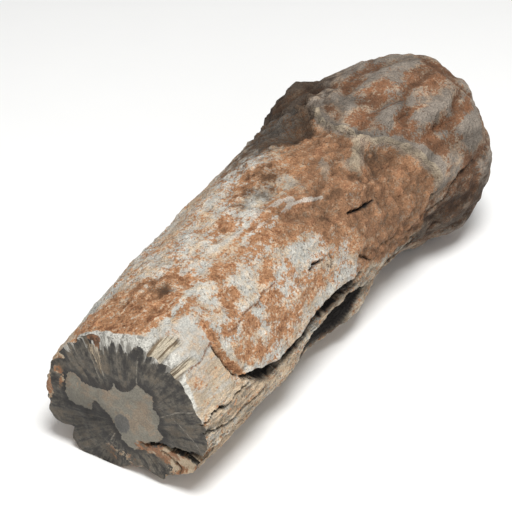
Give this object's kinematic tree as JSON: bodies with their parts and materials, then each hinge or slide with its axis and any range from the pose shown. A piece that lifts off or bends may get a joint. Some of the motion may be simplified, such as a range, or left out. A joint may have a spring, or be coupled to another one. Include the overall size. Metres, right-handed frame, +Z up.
{
  "type": "petrified wood log",
  "caption": "Petrified wood log lying on its side, with a dark cut end, a mottled bark slab, ledges, a knob and open cracks.",
  "frame": {"origin": "middle of the log's footprint, on the surface that it rests on", "axes": "+X along the log from its cut end to its broken end, +Z up, +Y towards the side with the knob"},
  "size_m": [0.4006, 0.1584, 0.1368],
  "materials": {
    "mottled_petrified_wood": "dull weathered stone, cream and pale grey with rust-orange mottling; the cut end is grey-brown with a smooth tan middle"
  },
  "bodies": {
    "root": {"petrified_log": "mottled_petrified_wood"}
  },
  "joints": []
}
